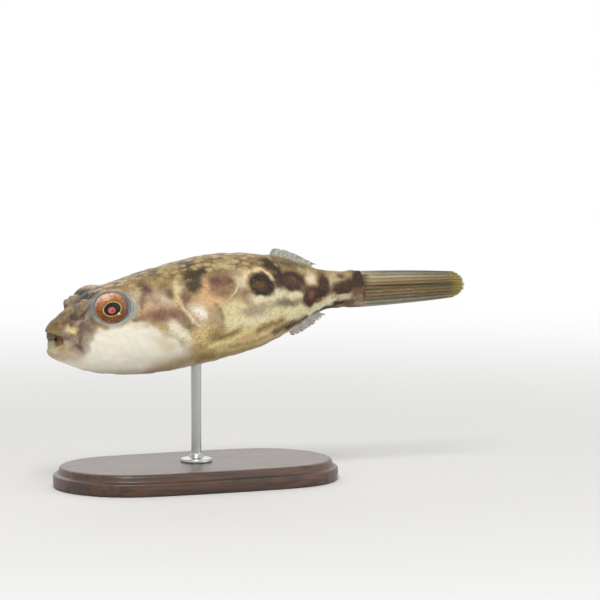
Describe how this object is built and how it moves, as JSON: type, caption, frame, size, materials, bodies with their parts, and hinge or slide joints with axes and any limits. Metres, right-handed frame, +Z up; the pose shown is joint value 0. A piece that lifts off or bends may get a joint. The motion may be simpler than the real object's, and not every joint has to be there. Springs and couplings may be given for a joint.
{
  "type": "freshwater pufferfish model",
  "caption": "Life-size still model of a young, long-tailed freshwater pufferfish, held level over a flat oval base by a thin rod.",
  "frame": {"origin": "centre of the underside of the stand's base", "axes": "+Z up; the fish faces -X with its tail towards +X; its left side faces -Y"},
  "size_m": [0.1285, 0.046, 0.0661],
  "materials": {
    "skin": "satin, mottled brown on olive and cream",
    "pale_skin": "satin, cream",
    "fin": "satin, clear grey green between the rays",
    "tail_fin": "satin, olive rays",
    "eye": "polished, amber ring round a dark pupil",
    "beak": "polished, bluish ivory",
    "base_wood": "dark oiled wood, satin",
    "rod_steel": "fine brushed"
  },
  "bodies": {
    "root": {"head": "skin", "lower_jaw": "pale_skin", "trunk": "skin", "tail_stalk": "skin", "caudal_fin": "tail_fin", "dorsal_fin": "fin", "anal_fin": "fin", "pectoral_fin_left": "fin", "pectoral_fin_right": "fin", "eye_left": "eye", "eye_right": "eye", "nostril_left": "skin", "nostril_right": "skin", "beak_upper": "beak", "beak_lower": "beak", "stand_base": "base_wood", "stand_rod": "rod_steel"}
  },
  "joints": []
}
